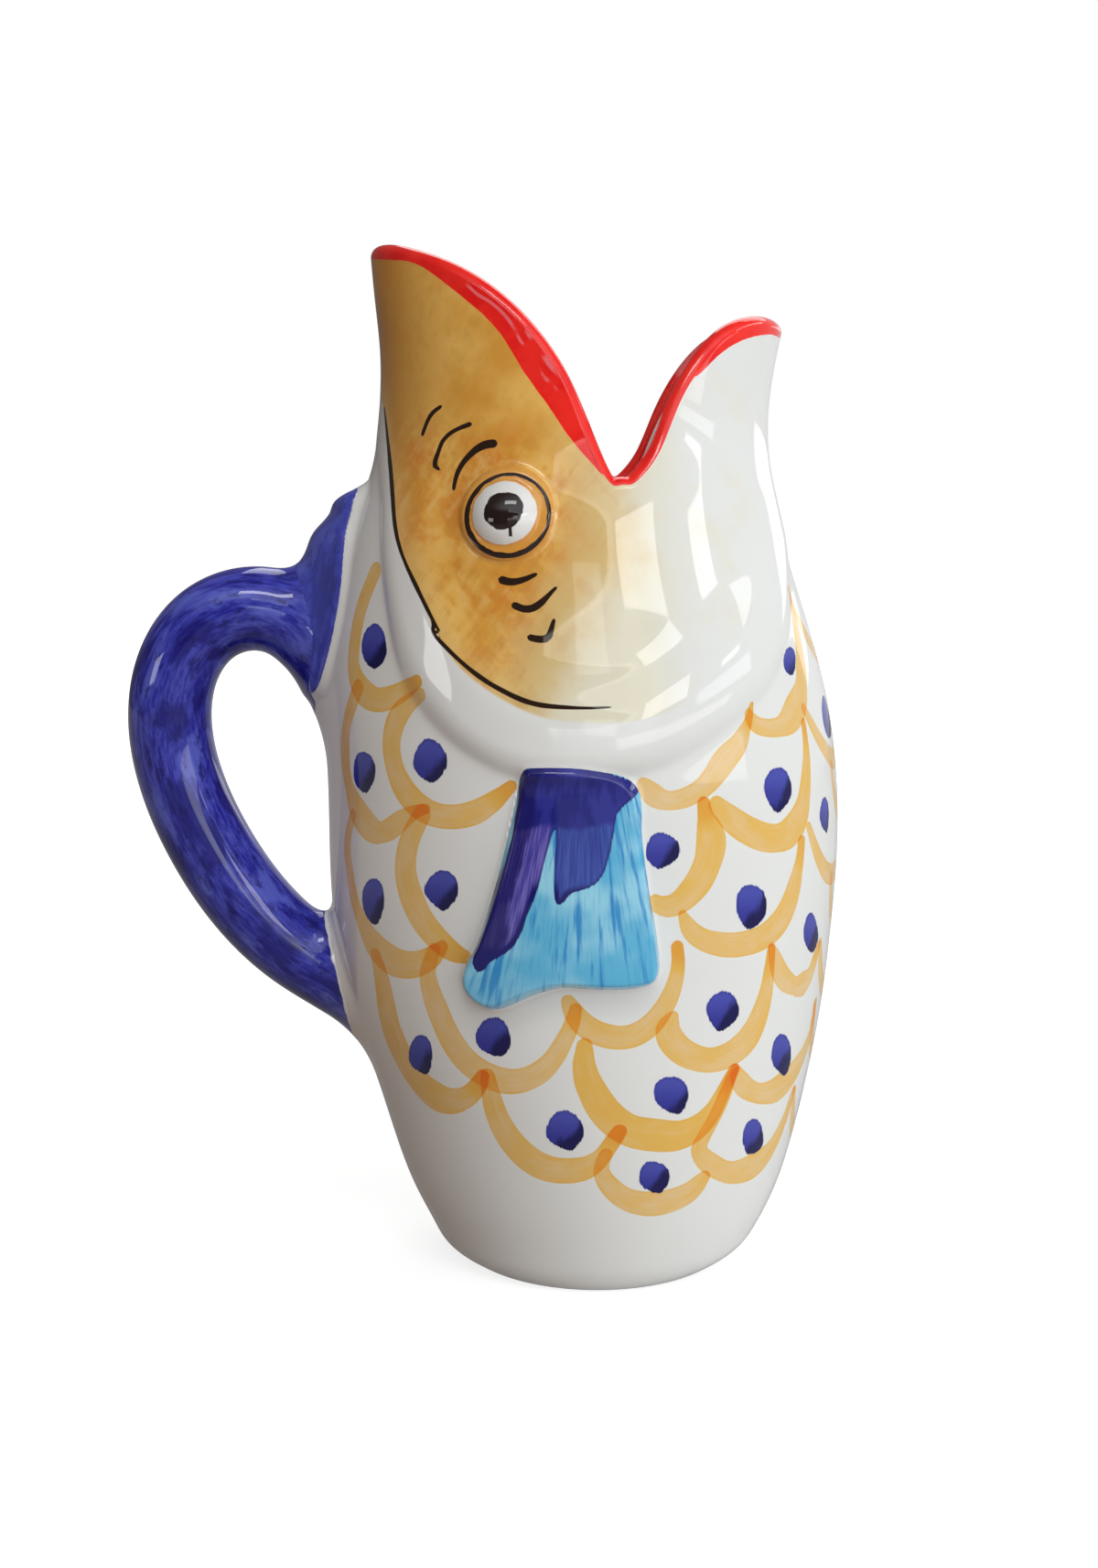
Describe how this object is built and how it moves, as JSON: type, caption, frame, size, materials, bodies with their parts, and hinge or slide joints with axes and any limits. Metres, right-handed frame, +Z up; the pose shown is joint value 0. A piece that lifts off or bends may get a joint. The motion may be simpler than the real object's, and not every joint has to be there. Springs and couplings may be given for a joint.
{
  "type": "gurgle jug",
  "caption": "Glazed ceramic pouring jug shaped as an upright open-mouthed fish, with a hollow curled tail as its handle and air chamber.",
  "frame": {"origin": "centre of the foot ring, on the surface the jug stands on", "axes": "+Z up; +X towards the lower jaw, over which it pours; -X towards the tail handle; the jug is mirror-symmetric about the XZ plane"},
  "size_m": [0.1829, 0.1226, 0.2599],
  "materials": {
    "white_glaze": "glossy clear glaze over white clay, hand painted",
    "red_glaze": "glossy clear glaze over brushed red",
    "blue_glaze": "glossy clear glaze over brushed cobalt blue",
    "fin_glaze": "glossy clear glaze over brushed blue and turquoise",
    "eye_glaze": "glossy clear glaze over white clay with a black pupil"
  },
  "bodies": {
    "root": {"jug_body": "white_glaze", "mouth_lip": "red_glaze", "tail_handle": "blue_glaze", "tail_fin": "blue_glaze", "right_pectoral_fin": "fin_glaze", "left_pectoral_fin": "fin_glaze", "right_eye": "eye_glaze", "left_eye": "eye_glaze"}
  },
  "joints": []
}
